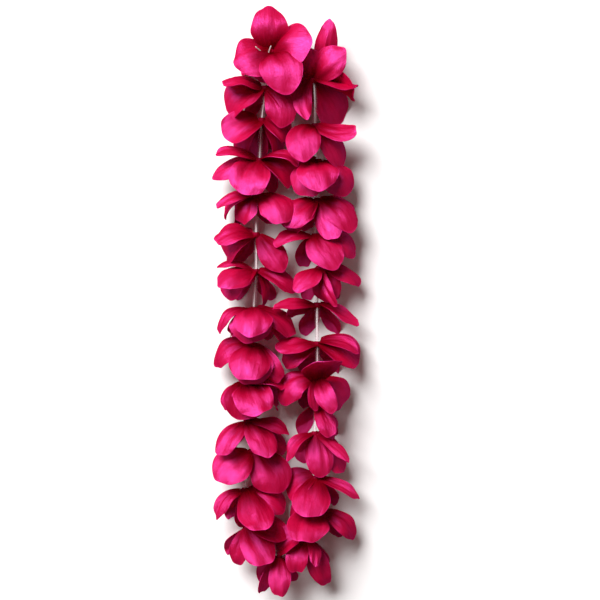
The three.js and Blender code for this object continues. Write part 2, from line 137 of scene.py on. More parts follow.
# Along the thread: each bloom's place and its petals, or a BEND where the thread only turns.
# A petal is (across, down, level, shows, turn, wide), the last two left out where they are 0 and 1: its
# tip is across to the right and down towards the loop's bottom end from the bloom's middle, in mm;
# level 1 has the tip at its full height over the thread and -1 under it; shows is how far the upper
# face leans to the viewer above, turn how far it leans to the right, and wide its width as a share of
# the usual. What one petal does of its own follows by name: by is how far its middle lies across and
# down from the straight way, in mm; belly where it is widest; neck how wide its root is; point how
# pointed its tip is; bow how far it arches; cup, fold, curl and twist are in radians.
ALWAYS_GIVEN = 4
USUAL_TURN_AND_WIDE = (0, 1)
BEND = "bend"
STRING = [
    ("top", -12, 223, [
        (-3, -41, 0.4, 4, 0, 1, dict(bow=0.13, curl=-0.4, belly=0.42, point=0.4, cup=0.3)),
        (34, -5, 1, 3.5, 0.1, 1.4, dict(by=(0, -1), belly=0.46, cup=0.35, curl=-0.3, neck=0.4)),
        (11, 37, 1.7, 6, 0, 1.15, dict(by=(2, -4), cup=0.35, bow=0.18, curl=-0.5, point=0.36, neck=0.4)),
        (-33, 9, 0.5, 2.5, -0.3, 1.25, dict(by=(-2, 2), cup=0.35, curl=-0.3, belly=0.48, neck=0.4)),
        (-13, 25, 0.3, 2, 0.8, 0.9, dict(cup=0.2)), (-4, -32, -1, 5, 0, 0.9),
        (-30, 8, -1, 3, 0, 0.9)]),
    (BEND, -20, 209, []),
    ("left_01", -18, 191, [
        (-38, -5, 0.6, 0.55, 0, 0.9, dict(twist=0.4, curl=-0.2, point=0.42)),
        (-35, 20, -0.02, 1.2, 0, 1.05, dict(cup=-0.3)),
        (17, 35, 0.7, 1.3, 0, 0.84, dict(by=(4, -1), cup=0.35, curl=-0.3, point=0.42)),
        (30, 16, -0.1, 1.5, 0, 1)]),
    ("left_02", -21, 162, [
        (-31, 19, 0.4, 1.2, 0, 1.1, dict(cup=-0.6, curl=0.2)),
        (22, 18, 0, 0.8, 0, 0.85, dict(cup=-0.6)), (-21, 33, -0.68, 0.9, 0, 0.65, dict(by=(-2, 0))),
        (18, 31, -0.75, 0.8, 0, 0.8), (-9, 34, -1, 1, 0, 0.8)]),
    ("left_03", -23, 126, [
        (-40, -5, 0.5, 0.7, 0, 0.55, dict(point=0.7)),
        (-42, 16, 0.2, 0.9, 0, 0.75, dict(cup=0.4, point=0.65)),
        (-15, 29, 1, 1.5, 0, 1.1, dict(fold=-0.25, cup=0.35, curl=-0.3)), (36, 3, 0.5, 0.35, 0, 0.7),
        (29, 22, -0.04, 0.9, 0, 1, dict(cup=-0.9))]),
    ("left_04", -26, 95, [
        (-36, 11, 0.36, 0.7, 0, 0.5, dict(point=0.7)), (-30, 20, -0.26, 0.5, 0, 0.8, dict(cup=-0.4)),
        (26, 24, 1.1, 1, 0, 1, dict(by=(3, -5), cup=0.6)), (29, 27, -0.4, 0.5, 0, 0.8),
        (-16, 24, -0.05, 0.6, 0, 0.9)]),
    ("left_05", -26, 59, [
        (-37, 5, 0.5, 0.75, 0, 0.85, dict(fold=-0.2, point=0.4)),
        (-29, 21, -0.4, 0.9, 0, 1, dict(cup=-0.3)), (25, 32, 0.6, 0.8, -0.5, 0.75, dict(cup=0.6))]),
    ("left_06", -26, 26, [
        (-33, 11, 0.96, 0.9, 0, 0.9, dict(cup=0.5)), (-26, 24, 0.14, 0.7, 0, 0.95, dict(cup=-0.3)),
        (-36, -7, -0.3, 0.4, 0, 0.45), (35, 18, -0.1, 0.8, 0, 0.7, dict(cup=0.2)),
        (9, 31, -0.44, 0.5, 0, 0.4)]),
    ("left_07", -28, -8, [
        (-33, 19, 0.5, 0.3, 0, 0.6, dict(by=(-2, -3), point=0.65)),
        (0, 22, 0.92, 1.2, 0, 1.05, dict(cup=0.5, curl=-0.3)),
        (36, 23, 0.32, 0.7, 0, 0.8, dict(by=(0, -2), cup=0.4)), (-4, 29, 0.6, 1.1, 0, 1.15),
        (-23, 23, 0.2, 0.4, 0, 0.35, dict(point=0.8)), (29, 28, -0.48, 0.8, 0, 0.75)]),
    ("left_08", -28, -40, [
        (-36, 18, 0.05, 0.8, 0, 0.85, dict(by=(-2, -3), curl=-0.4, point=0.6)),
        (-7, 28, 1, 1.5, 0, 1.15, dict(cup=0.5, curl=-0.4, bow=0.09)),
        (24, 32, 0.5, 0.5, -0.8, 0.6, dict(cup=0.5)), (-2, 35, 0.6, 1.3, 0, 1.1)]),
    ("left_09", -36, -75, [
        (-20, 20, 0.58, 0.3, 0, 0.35, dict(by=(-2, 0), curl=-0.5, point=0.8)),
        (14, 24, 1, 1.1, 0, 1.1, dict(fold=-0.3, cup=0.5)), (35, 2, 0.1, 0.5, 0, 0.8, dict(cup=-0.4)),
        (1, 31, 0.6, 1.1, 0, 1.15), (31, 19, -0.5, 0.7, 0, 0.9)]),
    ("left_10", -34, -109, [
        (-24, 29, 0.8, 1, -0.3, 0.7, dict(cup=0.4)),
        (18, 30, 1, 1, 0.3, 0.85, dict(cup=0.5, by=(2, -1))),
        (38, 9, 0.3, 0.5, 0, 0.6, dict(twist=0.4, point=0.7)), (36, 27, -0.6, 0.8, 0, 0.8)]),
    ("left_11", -30, -136, [
        (-31, 24, 0.8, 1.6, -0.3, 1.15, dict(cup=0.25, curl=-0.15)),
        (21, 37, 0.8, 1.6, 0.2, 1.15, dict(cup=0.25, curl=-0.25, by=(4, 0)))]),
    ("left_12", -36, -171, [
        (-25, 24, 0.4, 0.6, 0, 0.5, dict(by=(-2, -2), point=0.65)),
        (17, 31, 1.5, 1, 0, 0.95, dict(fold=0.3, cup=0.3)), (38, 14, -0.3, 1, 0, 1.05),
        (4, 34, -0.78, 0.8, 0, 0.9)]),
    ("left_13", -34, -205, [
        (-9, 33, 0, 0.5, 0, 0.5), (18, 30, 0.8, 1, 0, 0.95, dict(cup=0.4)),
        (27, 18, -0.92, 0.8, 0, 0.8), (36, 6, 0.2, 0.8, 0, 0.9)]),
    ("bottom", -5, -229, [
        (1, 35, 0.6, 1, 0, 0.62, dict(cup=0.4)),
        (-15, 36, -0.3, 0.4, 0.6, 0.5, dict(by=(-6, 0), point=0.8)), (16, -20, 0.2, 0.8, 0, 0.8)]),
    ("right_14", 19, -215, [
        (19, 41, 0.3, 0.7, -0.5, 0.6, dict(fold=0.4)), (9, 20, 0.7, 0.5, 0.6, 0.4),
        (-8, 27, 0.46, 0.8, 0, 0.6, dict(by=(-3, 0)))]),
    ("right_13", 32, -190, [
        (-13, 23, 1, 1.2, 0, 1.15, dict(cup=0.4, by=(-4, -2), belly=0.52)),
        (32, 24, 0, 0.7, 0, 0.72, dict(cup=0.4, point=0.6)), (-29, 8, -0.4, 1)]),
    ("right_12", 28, -160, [
        (-7, 31, 1.08, 1.2, 0, 1.05, dict(cup=0.4)), (-25, 16, -0.2, 1, 0, 1.05, dict(cup=-0.4)),
        (39, 18, 0.2, 0.6, 0, 0.5, dict(cup=-0.3, by=(0, 3), point=0.75))]),
    ("right_11", 27, -120, [
        (-27, 22, 0.5, 0.5, 0, 0.42, dict(fold=-0.4, point=0.75)),
        (6, 38, 0.5, 1.2, 0, 0.78, dict(cup=0.5)), (32, 21, 1.3, 0.5, 0, 0.38, dict(point=0.8)),
        (26, 34, -0.4, 0.9, 0, 0.7)]),
    ("right_10", 28, -96, [
        (12, 26, 0.5, 0.7, 0, 0.55), (17, 32, -0.3, 0.6, 0, 0.6)]),
    ("right_09", 29, -72, [
        (24, 22, -0.04, 1, 0, 1.2), (-33, 20, 0.2, 0.7, 0.3, 0.9, dict(by=(-2, -5), cup=0.5)),
        (0, 26, 0.45, 0.5, 0.9, 0.5, dict(by=(-5, 1), point=0.6)),
        (14, 27, 0.8, 0.5, -0.6, 0.55, dict(point=0.6)), (6, -21, 1, 0.5, 0, 1.1)]),
    ("right_08", 29, -39, [
        (-38, 10, 0.5, 0.5, 0, 0.9, dict(curl=0.7, point=0.65)),
        (37, 9, 0.4, 0.45, 0, 0.65, dict(point=0.65)), (-32, 18, -0.2, 0.8, 0, 0.95),
        (38, 17, -0.3, 0.9, 0, 1.1)]),
    ("right_07", 29, -4, [
        (-40, -1, 0.5, 0.6, 0, 0.6, dict(by=(0, 3), cup=0.2, point=0.5)),
        (36, 21, 0.5, 0.35, 0, 0.65, dict(curl=0.3, point=0.7)), (-28, 9, -0.2, -0.2, 0, 0.9)]),
    ("right_06", 31, 29, [
        (-22, 22, 0.8, 0.5, 0, 0.72, dict(by=(2, 0), point=0.65)), (37, 14, -0.1, 0.6, 0, 0.8),
        (16, 34, 0.78, 0.3, -1.2, 0.42, dict(point=0.7)), (8, 30, 0.1, 0.7, 0, 0.8)]),
    ("right_05", 27, 58, [
        (-38, 6, 0.5, 0.5, 0, 0.7, dict(point=0.6)),
        (20, 28, 0.82, 1.2, 0, 0.95, dict(cup=0.4, by=(-4, 0))),
        (39, 15, -0.1, 1, 0, 0.9, dict(point=0.6))]),
    ("right_04", 29, 90, [
        (-31, 21, 0.8, 1.1, 0, 1, dict(cup=0.6)),
        (31, 27, 1.25, 1.1, 0, 0.85, dict(cup=0.5, by=(2, -4))),
        (-25, 28, 0.24, 0.9, 0, 0.9, dict(cup=-0.3)), (17, 34, 0.86, 0.7, -0.5, 0.75, dict(cup=0.5)),
        (34, 5, -0.48, 0.5, 0, 0.5)]),
    ("right_03", 30, 125, [
        (5, 25, 0.92, 1.2, 0, 1.15, dict(cup=0.4, by=(-3, 0))),
        (-14, 31, 0.6, 1.2, 0, 1.05, dict(cup=0.5)), (26, 30, 0.32, 0.9, 0, 1, dict(cup=0.3)),
        (-30, 16, -0.7, 1, 0, 0.9)]),
    ("right_02", 27, 157, [
        (-6, 32, 0.9, 1.3, -0.2, 1, dict(cup=0.5, by=(-6, -4))),
        (37, 5, 0.6, 0.8, 0, 0.75, dict(by=(0, 9), curl=0.3, point=0.36, neck=0.4)),
        (25, 36, 0.15, 0.7, 0, 0.8)]),
    ("right_01", 25, 198, [
        (15, -55, 0.8, 3, 0, 0.6, dict(by=(2, 0), fold=0.8, belly=0.58, point=0.85)),
        (40, 9, 0.7, 0.3, 0, 0.8, dict(curl=0.3)), (27, -25, 0.88, 2, 0.3, 0.95, dict(cup=0.6)),
        (24, 37, -2.2, 1, -0.4, 1.1), (38, 16, 0.55, -0.5, 0, 1),
        (-3, 36, 0.9, 1, 0.1, 0.5, dict(by=(-7, 0), point=0.65, cup=0.3)),
        (-18, 23, -0.88, 1.5, 0, 0.9), (-7, -27, 0.4, 1.5, 0, 0.75)]),
    (BEND, 14, 219, []),
]
# The two petals under every bloom but the top one, which carry it; across is away from the loop's gap
FEET = [(17, 25, -1.05, 0.3, 0, 0.6), (-12, 25, -1.05, 0.3, 0, 0.6)]
BARE_AFTER = ["top", "bottom"]  # the next bloom lies hard against these, with no tube between


# The thread's path


def path_point(p, t):
    """A point between p[1] and p[2] on the smooth line through all four, t from 0 to 1."""
    steps = [math.sqrt((p[i + 1] - p[i]).length) for i in range(3)]
    leave = ((p[1] - p[0]) / steps[0] - (p[2] - p[0]) / (steps[0] + steps[1])
             + (p[2] - p[1]) / steps[1]) * steps[1]
    arrive = ((p[2] - p[1]) / steps[1] - (p[3] - p[1]) / (steps[1] + steps[2])
              + (p[3] - p[2]) / steps[2]) * steps[1]
    return (p[1] + leave * t + (3 * (p[2] - p[1]) - 2 * leave - arrive) * t ** 2
            + (2 * (p[1] - p[2]) + leave + arrive) * t ** 3)


def thread_path():
    """Points along the thread's loop, close together, and each one's distance from the first."""
    places = [Vector((x * MM, y * MM, THREAD_HEIGHT)) for _, x, y, _ in STRING]
    count = len(places)
    points = [path_point([places[(i + k) % count] for k in (-1, 0, 1, 2)], j / SAMPLES)
              for i in range(count) for j in range(SAMPLES)]
    points.append(points[0])
    distances = [0.0]
    for a, b in zip(points, points[1:]):
        distances.append(distances[-1] + (b - a).length)
    return points, distances


PATH, DISTANCES = thread_path()
ROUND = DISTANCES[-1]


def place_at(distance):
    """The thread's centre and direction at a distance along it."""
    distance %= ROUND
    low, high = 0, len(DISTANCES) - 1
    while high - low > 1:
        middle = (low + high) // 2
        low, high = (middle, high) if DISTANCES[middle] <= distance else (low, middle)
    share = (distance - DISTANCES[low]) / (DISTANCES[high] - DISTANCES[low])
    before = PATH[low - 1] if low else PATH[-2]
    after = PATH[high + 1] if high + 1 < len(PATH) else PATH[1]
    along = (PATH[high] - before).normalized().lerp((after - PATH[low]).normalized(), share)
    return PATH[low].lerp(PATH[high], share), along.normalized()


def section_at(distance):
    """The thread's centre at a distance along it, and the directions across and up from it."""
    at, along = place_at(distance)
    outward = along.cross(UP).normalized()
    return at, outward, outward.cross(along)


# Making meshes

MERGED = 0.01 * MM  # corners nearer to each other than this become one
SMOOTH_ANGLE = math.radians(50)


def alone(obj):
    """Makes obj the only selected object, out of edit mode."""
    if bpy.context.object and bpy.context.object.mode != "OBJECT":
        bpy.ops.object.mode_set(mode="OBJECT")
    bpy.ops.object.select_all(action="DESELECT")
    obj.select_set(True)
    bpy.context.view_layer.objects.active = obj


def edit(obj):
    """Opens obj in edit mode with everything in it selected."""
    alone(obj)
    bpy.ops.object.mode_set(mode="EDIT")
    bpy.ops.mesh.select_all(action="SELECT")


def done():
    """Closes edit mode."""
    bpy.ops.object.mode_set(mode="OBJECT")


def modify(obj, kind, **settings):
    """Adds a modifier and applies it."""
    alone(obj)
    modifier = obj.modifiers.new(kind.title(), kind)
    for name, value in settings.items():
        setattr(modifier, name, value)
    bpy.ops.object.modifier_apply(modifier=modifier.name)


def net(name, across, along):
    """A flat square net of faces, one unit each way, with its UV map."""
    bpy.ops.object.select_all(action="DESELECT")
    bpy.ops.mesh.primitive_grid_add(x_subdivisions=across, y_subdivisions=along, size=1, calc_uvs=True)
    bpy.context.object.name = name
    return bpy.context.object


def ring_of_cord(radius, cord_radius, steps, sides):
    """A closed ring of round cord."""
    bpy.ops.object.select_all(action="DESELECT")
    bpy.ops.mesh.primitive_torus_add(major_radius=radius, minor_radius=cord_radius,
                                     major_segments=steps, minor_segments=sides)
    return bpy.context.object


def copy_of(blank, name):
    """A copy of blank with its own mesh."""
    alone(blank)
    bpy.ops.object.duplicate()
    bpy.context.object.name = name
    return bpy.context.object


def joined(parts, name):
    """One object of all the parts."""
    alone(parts[0])
    for part in parts:
        part.select_set(True)
    bpy.ops.object.join()
    parts[0].name = name
    return parts[0]


def shaped(obj, surface):
    """Moves each corner of a flat net to surface(x, y), x and y from 0 to 1 across and along it."""
    for vertex in obj.data.vertices:
        vertex.co = surface(vertex.co.x + 0.5, vertex.co.y + 0.5)
    obj.data.update()


def rolled(name, around, steps, ring):
    """A net rolled into a tube: ring(share, angle) gives a point of its skin."""
    tube = net(name, around, steps)
    shaped(tube, lambda x, y: ring(y, 2 * math.pi * x))
    edit(tube)
    bpy.ops.mesh.remove_doubles(threshold=MERGED)
    bpy.ops.mesh.normals_make_consistent(inside=False)
    done()
    return tube


def finished(piece, finish, node):
    """Dresses a piece in its finish and puts it in the place of its solid."""
    piece.data.name = piece.name
    piece.data.materials.clear()
    piece.data.materials.append(finish)
    alone(piece)
    bpy.ops.object.shade_smooth_by_angle(angle=SMOOTH_ANGLE)
    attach(piece, "root")
    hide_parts(node)


# Petals and blooms

STRAIGHT = 1e-4  # an arc that turns by less than this is straight


def half_width(share, belly, point, neck=PETAL_NECK):
    """Half the width of the usual petal at a share of its length: a neck, a broad middle, a round end."""
    wide = PETAL_WIDTH / 2
    if share < belly:
        opening = math.sin(math.pi / 2 * share / belly) ** NECK_CURVE
        return wide * (neck + (1 - neck) * opening)
    past = (share - belly) / (1 - belly)
    return wide * max(0, 1 - past * past) ** point


def tip_share(side, belly, point):
    """How far along the petal its end reaches at a side from -1 to 1."""
    corner = half_width(PETAL_CORNER, belly, point) / (PETAL_WIDTH / 2)
    return belly + (1 - belly) * math.sqrt(1 - abs(side * corner) ** (1 / point))


def bent(amount, angle):
    """An arc of that amount that turns by angle: its reach along its start, and its rise."""
    if abs(angle) < STRAIGHT:
        return amount, 0
    return amount * math.sin(angle) / angle, amount * (1 - math.cos(angle)) / angle


def filled(row):
    """A petal's row of the table with what it leaves out, and what it does of its own."""
    own = row[-1] if isinstance(row[-1], dict) else {}
    given = row[:-1] if own else row
    return [*given, *USUAL_TURN_AND_WIDE[len(given) - ALWAYS_GIVEN:]], own


def petal_surface(heart, strand, layer, row, draw):
    """A petal's middle surface as a function of x across and y along its net."""
    (across, down, level, shows, turn, wide), own = filled(row)
    across, down = across * MM, down * MM
    reach = math.hypot(across, down)
    length = max(PETAL_LENGTH, reach * LENGTH_OVER_REACH)
    rise = level * math.sqrt(length ** 2 - reach ** 2)
    tip = heart + Vector((across, -down, rise))
    outward = tip - heart
    outward = (outward - strand * outward.dot(strand)).normalized()
    root = heart + strand * LAYERS[layer] + outward * PETAL_ROOT
    along = tip - root
    span = along.length
    along.normalize()
    face = Vector((turn, 1, shows))
    face = (face - along * face.dot(along)).normalized()

    slack = min(SLACK, max(0, (length - PETAL_ROOT) / span - 1))
    bow = span * (own.get("bow", PETAL_BOW) + math.sqrt(ARC_RISE * slack))
    aside = own.get("by", (0, 0))
    aside = Vector((aside[0] * MM, -aside[1] * MM, 0))
    # the arc passes halfway between this and the straight way
    crown = root.lerp(tip, 0.5) + face * 2 * bow + aside * 2

    belly, neck = own.get("belly", PETAL_WIDEST), own.get("neck", PETAL_NECK)
    point = own.get("point", draw.uniform(*POINTS))
    cup = own.get("cup", draw.uniform(*CUPS) * PETAL_CUP * (-1 if draw.random() < CUPPED_BACK else 1))
    fold = own.get("fold", draw.uniform(*FOLDS))
    curl = own.get("curl", draw.uniform(*CURLS))
    twist = own.get("twist", draw.uniform(*TWISTS))
    sweep = draw.uniform(*SWEEPS)
    pinch, pinch_at = draw.uniform(0, PINCH), draw.uniform(*PINCH_PLACES)
    edge_at, apart_at, tip_at, end_at, gather_at = [draw.uniform(0, 2 * math.pi) for _ in range(5)]
    drift = Vector([draw.uniform(0, PATTERN_SPREAD) for _ in range(3)])

    def uneven(x, y, z):
        """The petal's own smooth random pattern."""
        return noise.noise(drift + Vector((x, y, z)))

    def relief(v, share):
        """How far the cloth stands off its smooth form, at a side v from -1 to 1."""
        edges = math.sin(2 * math.pi * EDGE_WAVES * share + edge_at + (apart_at if v > 0 else 0))
        ruffle = edges * v * v + TIP_RUFFLE * math.sin(math.pi * TIP_WAVES * v + tip_at) * share ** 3
        crumple = uneven(v * CRUMPLE_SCALE[0], share * CRUMPLE_SCALE[1], 0)
        crease = uneven(v * CREASE_SCALE[0], share * CREASE_SCALE[1], CREASE_APART)
        gather = (math.cos(GATHER_FOLDS * math.pi * v + gather_at)
                  * math.sin(math.pi * min(1, share * GATHER_END)) ** 2)
        pinched = (pinch * math.exp(-((v - pinch_at) / PINCH_WIDTH) ** 2)
                   * math.sin(math.pi * min(1, share)))
        return (share * (RUFFLE * ruffle + CRUMPLE * crumple) + CREASE * crease * share ** 0.5
                + GATHER * wide * gather - pinched)

    def at(x, y):
        v = 2 * x - 1
        end = tip_share(v, belly, point)
        share = y * end * (1 + END_UNEVEN * math.sin(END_WAVES * v + end_at) * y ** 4)
        edge = 1 + UNEVEN * uneven(math.copysign(EDGES_APART, v), share * UNEVEN_SCALE, 0)
        half = wide * edge * half_width(y * PETAL_CORNER, belly, point, neck)
        spot = root * (1 - share) ** 2 + crown * 2 * share * (1 - share) + tip * share ** 2
        run = ((crown - root) * (1 - share) + (tip - crown) * share).normalized()
        side = run.cross(face).normalized()
        lift = side.cross(run)

        past = max(0, (share - CURL_FROM) / (1 - CURL_FROM))
        straight = span * (1 - CURL_FROM) * past
        on, off = bent(straight, curl * past)
        spot += along * (on - straight) + face * off
        tilt = Quaternion(side, curl * past) @ Quaternion(run, twist * (share - TWIST_FROM))
        side, lift = tilt @ side, tilt @ lift

        out, fall = bent(half * abs(v), cup * abs(v))
        fall += fold * half * abs(v) * math.sin(math.pi * min(1, share * FOLD_END)) ** 0.5
        spot += side * (math.copysign(out, v) + sweep * span * share ** 2)
        spot += lift * (relief(v, share) - fall)
        spot.z = max(spot.z, PETAL_THICKNESS / 2)
        return spot

    return at


def petal_blank():
    """The cut petal before it is bent: a flat net that every petal is copied from."""
    return net("petal_blank", GRID_ACROSS, GRID_ALONG)


def collar(heart, strand):
    """The gathered, pleated cloth round the thread in the middle of a bloom."""
    wall = (COLLAR_RADIUS - COLLAR_HOLE) / 2
    gathered = ring_of_cord(COLLAR_HOLE + wall, wall, PLEAT_STEPS * COLLAR_PLEATS, COLLAR_SIDES)
    turn = UP.rotation_difference(strand).to_matrix()
    for vertex in gathered.data.vertices:
        x, y, z = vertex.co
        pleat = 1 + PLEAT_DEPTH * math.cos(COLLAR_PLEATS * math.atan2(y, x))
        vertex.co = heart + turn @ Vector((x * pleat, y * pleat, z * COLLAR_LENGTH / 2 / wall))
    for corner in gathered.data.uv_layers.active.data:
        corner.uv.y *= COLLAR_SHARE
    return gathered


def petal(surface, blank, tone):
    """One petal of cloth: the blank bent to its surface, given its own tone and its thickness."""
    cut = copy_of(blank, "petal")
    shaped(cut, surface)
    tones = cut.data.attributes.new("tone", "FLOAT", "POINT")
    tones.data.foreach_set("value", [tone] * len(tones.data))
    modify(cut, "SOLIDIFY", thickness=PETAL_THICKNESS, offset=0)
    return cut


def bloom(name, distance, rows, blank, finish):
    """One bloom: its petals and its collar, as one piece."""
    heart, strand = place_at(distance)
    strand = -strand if strand.y < 0 else strand
    rows = list(rows)
    if name != "top":
        outwards = math.copysign(1, heart.x)
        rows += [(across * outwards, *rest) for across, *rest in FEET]
    parts = [collar(heart, strand)]
    for i, row in enumerate(rows):
        surface = petal_surface(heart, strand, i % len(LAYERS), row, random.Random(f"{name} {i}"))
        tone = random.Random(f"tone {name} {i}").uniform(-1, 1)
        parts.append(petal(surface, blank, tone))
    finished(joined(parts, "petals_" + name), finish, "bloom_" + name)


# Tubes and thread


def spacer(name, start, end, finish):
    """A clear tube between two blooms, with its wall and square cut ends."""
    steps = max(TUBE_LEAST_STEPS, round((end - start) / TUBE_STEP))

    def ring(share, angle):
        at, outward, upward = section_at(start + (end - start) * share)
        return at + TUBE_RADIUS * (outward * math.cos(angle) + upward * math.sin(angle))

    tube = rolled("tube_after_" + name, TUBE_SIDES, steps, ring)
    modify(tube, "SOLIDIFY", thickness=TUBE_WALL, offset=-1)
    finished(tube, finish, "spacer_after_" + name)


def ply(angle):
    """The thread's radius at an angle round it: two plies laid round each other."""
    return THREAD_RADIUS * (PLY_WAIST + PLY_SWELL * abs(math.cos(angle)))


def thread(finish):
    """The closed loop of two-ply thread with its knot and its cut ends, as one piece."""
    steps = round(ROUND / THREAD_STEP)

    def ring(share, angle):
        at, outward, upward = section_at(ROUND * share)
        lay = 2 * math.pi * round(ROUND / THREAD_PITCH) * share
        return at + ply(angle - lay) * (outward * math.cos(angle) + upward * math.sin(angle))

    parts = [rolled("thread", THREAD_SIDES, steps, ring), knot(), *knot_ends()]
    finished(joined(parts, "thread_loop"), finish, "thread")


def knot():
    """The tie: a cord laid over and under itself three times."""
    tie = ring_of_cord(KNOT_RADIUS, THREAD_RADIUS * KNOT_CORD, KNOT_STEPS, KNOT_SIDES)
    centre = place_at(KNOT_PLACE)[0]

    def line(t):
        return Vector((math.sin(t) + 2 * math.sin(2 * t), math.cos(t) - 2 * math.cos(2 * t),
                       -math.sin(3 * t))) * (KNOT_RADIUS / KNOT_REACH)

    for vertex in tie.data.vertices:
        t = math.atan2(vertex.co.y, vertex.co.x)
        out = math.hypot(vertex.co.x, vertex.co.y) - KNOT_RADIUS
        run = (line(t + KNOT_LOOK) - line(t - KNOT_LOOK)).normalized()
        wide = run.cross(UP).normalized()
        vertex.co = centre + line(t) + wide * out + wide.cross(run) * vertex.co.z
    return tie


def knot_ends():
    """The thread's two cut ends, which come up out of the knot through the bloom."""
    centre = place_at(KNOT_PLACE)[0]
    ends = []
    for (across, up), length in KNOT_ENDS:
        way = Vector((across, up, 1)).normalized()
        side = way.orthogonal().normalized()

        def ring(share, angle, way=way, side=side, length=length):
            lay = 2 * math.pi * length / THREAD_PITCH * share
            taper = min(1, (1 - share) * END_TAPER, share * END_TAPER)
            return centre + way * length * share + taper * ply(angle - lay) * (
                side * math.cos(angle) + way.cross(side) * math.sin(angle))

        ends.append(rolled("thread_end", THREAD_SIDES, END_STEPS, ring))
    return ends


# Finishes


class Value:
    """A socket in a finish. Arithmetic on it adds the nodes."""

    def __init__(self, finish, socket):
        self.finish, self.socket = finish, socket

    def math(self, operation, *others):
        return self.finish.node("Math", {"operation": operation}, [self, *others])

    def __add__(self, other):
        return self.math("ADD", other)

    def __sub__(self, other):
        return self.math("SUBTRACT", other)

    def __rsub__(self, other):
        return self.finish.node("Math", {"operation": "SUBTRACT"}, [other, self])

    def __mul__(self, other):
        return self.math("MULTIPLY", other)

    def __abs__(self):
        return self.math("ABSOLUTE")

    __radd__, __rmul__ = __add__, __mul__


class Finish:
    """A material and the tools that build it."""

    def __init__(self, name):
        self.material = bpy.data.materials.new(name)
        self.material.use_nodes = True
        self.tree = self.material.node_tree
        self.tree.nodes.clear()

    def node(self, kind, settings=None, inputs=None, output=0):
        """Any node: its type, its settings, and its inputs by place or name. Gives an output."""
        made = self.tree.nodes.new("ShaderNode" + kind)
        for name, value in (settings or {}).items():
            setattr(made, name, value)
        pairs = inputs.items() if isinstance(inputs, dict) else enumerate(inputs or [])
        for key, value in pairs:
            if isinstance(value, Value):
                self.tree.links.new(value.socket, made.inputs[key])
            else:
                made.inputs[key].default_value = value
        return Value(self, made.outputs[output])

    def place(self):
        """The place on the piece, in metres."""
        return self.node("TexCoord", output="Object")

    def cloud(self, scale, detail=2):
        """A smooth random pattern over the piece, from 0 to 1."""
        return self.node("TexNoise", None, {"Vector": self.place(), "Scale": scale, "Detail": detail})

    def blend(self, first, second, share):
        """first where share is 0 and second where it is 1, as colours."""
        return self.node("Mix", {"data_type": "RGBA"}, {0: share, 6: first, 7: second}, 2)

    def ease(self, value, low, high):
        """0 below low and 1 above high, with a soft step between."""
        return self.node("MapRange", {"interpolation_type": "SMOOTHSTEP"},
                         {"Value": value, "From Min": low, "From Max": high})

    def split(self, vector):
        """A vector's three parts."""
        parts = self.node("SeparateXYZ", None, [vector]).socket.node.outputs
        return [Value(self, part) for part in parts]

    def surface(self, shader):
        """Ends the finish in this shader and gives the material."""
        out = self.tree.nodes.new("ShaderNodeOutputMaterial")
        self.tree.links.new(shader.socket, out.inputs["Surface"])
        return self.material


PETAL_PINK = (0.6, 0.0, 0.034, 1)
# the deeper crimson: the cloth's own streaks, grain and tone, and the painted shade at the root
PETAL_DEEP = (0.15, 0.0, 0.002, 1)
# a painted highlight: the paler pink along the cut rim, where light catches the edge
PETAL_RIM_HIGHLIGHT = (0.82, 0.012, 0.16, 1)
PETAL_GLOW = (0.72, 0.0, 0.012, 1)  # light that comes through the cloth
PETAL_GLOSS = (1.0, 0.13, 0.72, 1)
CLOTH_CLOUD = 60
# Grain that runs up a petal: how many cross its width and its length, how far they stray, their detail
# and how rough they are
STREAKS = (9, 1.6, 4, 2, 0.5)
RIBS = (34, 2.5, 3, 3, 0.6)
WEAVE = (85, 105)  # threads across a petal and up it
WEAVE_UNEVEN = 0.25
ROOT_DYE_AND_SHADE = (0.08, 0.75)  # the root's deeper crimson, in part the cloth's own and in part painted shade, fades out between these shares of the length
RIM_HIGHLIGHT_SIDE = (0.93, 1.0)  # the painted highlight on the cut rim starts and is full at these shares of the half width
RIM_HIGHLIGHT_TIP = (0.955, 1.0)  # and of the length
# how strong the painted rim highlight is
RIM_HIGHLIGHT_STRENGTH = 0.7
# the first is the root's deeper crimson, in part the cloth's own and in part painted shade; the others
# are the cloth's own streaks, ribs, mottling and tone
ROOT_DYE_AND_SHADE_DEEP, STREAK_DEEP, RIB_DEEP, CLOUD_DEEP, TONE_DEEP = 0.85, 0.6, 0.2, 0.4, 0.12
STREAK_HEIGHT, RIB_HEIGHT, CLOUD_HEIGHT, WEAVE_HEIGHT = 1.2, 0.7, 3, 0.3
CLOTH_ROUGHNESS, RIB_ROUGHNESS, SATIN_ROUGHNESS = 0.55, 0.2, 0.44
SHOWS_THROUGH = 0.25  # share of the light that passes through the cloth
SHINE, STREAK_SHINE, TONE_SHINE, ROOT_DULL = 0.158, 0.16, 0.03, 0.9
CLOTH_RELIEF = 0.5 * MM
MIDDLE = 0.5  # of a pattern that runs from 0 to 1


